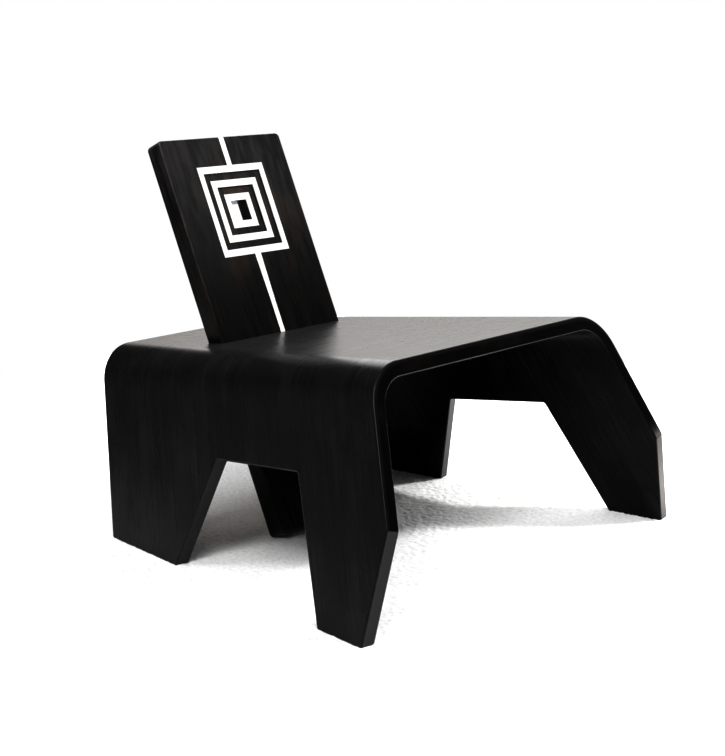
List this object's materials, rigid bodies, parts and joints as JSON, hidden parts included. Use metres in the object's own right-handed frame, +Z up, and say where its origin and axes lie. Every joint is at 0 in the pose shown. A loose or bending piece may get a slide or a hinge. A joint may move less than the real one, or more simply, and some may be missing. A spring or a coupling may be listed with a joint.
{
  "type": "birthing chair",
  "caption": "Low bent-laminated wooden seat on four splayed legs, with a raked back board that drops through a slot in the seat and lifts out, inlaid with concentric white squares in a stepped recess.",
  "frame": {"origin": "on the floor, under the middle of the overall box", "axes": "+Z up, -Y towards the front of the seat, +X to the right seen from the front"},
  "size_m": [0.821, 0.8, 0.6667],
  "materials": {
    "ebonised_ply": "satin ebonised and oiled bent lamination",
    "ebonised_board": "satin ebonised board, grain along its length",
    "white_inlay": "white lacquer filled into shallow routed bands"
  },
  "bodies": {
    "shell": {"shell_outer_face_ply": "ebonised_ply", "shell_outer_core_ply": "ebonised_ply", "shell_inner_core_ply": "ebonised_ply", "shell_inner_face_ply": "ebonised_ply"},
    "back": {"back_board": "ebonised_board", "ring_outer": "white_inlay", "ring_middle": "white_inlay", "ring_inner": "white_inlay", "stripe_upper": "white_inlay", "stripe_lower": "white_inlay"}
  },
  "joints": [
    {"name": "back_lift", "type": "slide", "parent": "shell", "child": "back", "axis": [0, 0.4147, 0.91], "range_m": [0, 0.38]}
  ]
}
